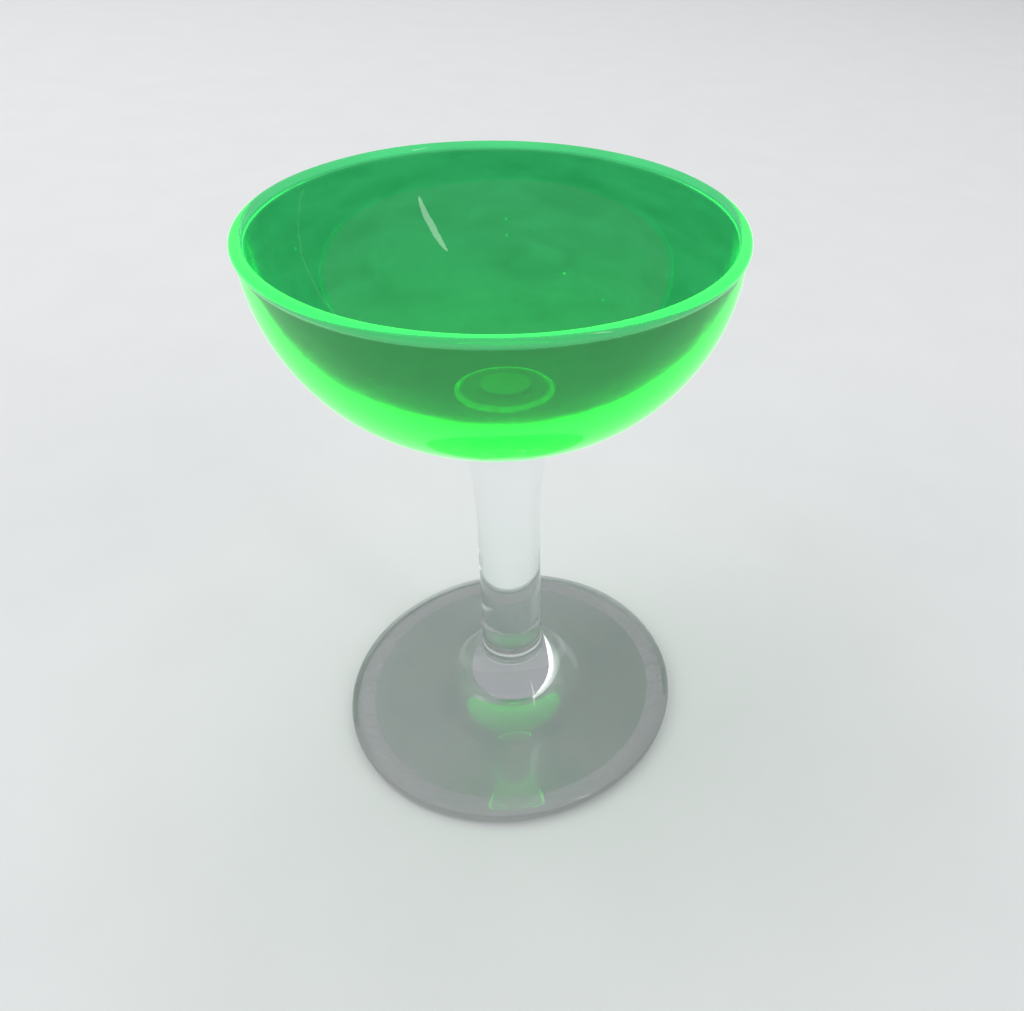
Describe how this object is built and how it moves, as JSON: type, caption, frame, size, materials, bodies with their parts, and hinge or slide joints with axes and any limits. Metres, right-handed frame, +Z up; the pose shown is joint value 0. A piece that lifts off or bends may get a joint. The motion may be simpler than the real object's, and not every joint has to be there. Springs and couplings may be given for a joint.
{
  "type": "footed glass dish",
  "caption": "Footed round glass dish: a deep green uranium glass bowl with a rounded rim bead, on a solid clear stem and a clear round foot.",
  "frame": {"origin": "centre of the flat ring that the foot stands on, on the dish's axis", "axes": "+Z up along the dish's axis, from the foot to the rim; X and Y are any two horizontal directions"},
  "size_m": [0.092, 0.092, 0.122],
  "materials": {
    "uranium_glass": "smooth fire-polished uranium glass, glowing green under ultraviolet light",
    "clear_glass": "smooth colourless glass"
  },
  "bodies": {
    "root": {"bowl": "uranium_glass", "button": "uranium_glass", "stem": "clear_glass", "foot": "clear_glass"}
  },
  "joints": []
}
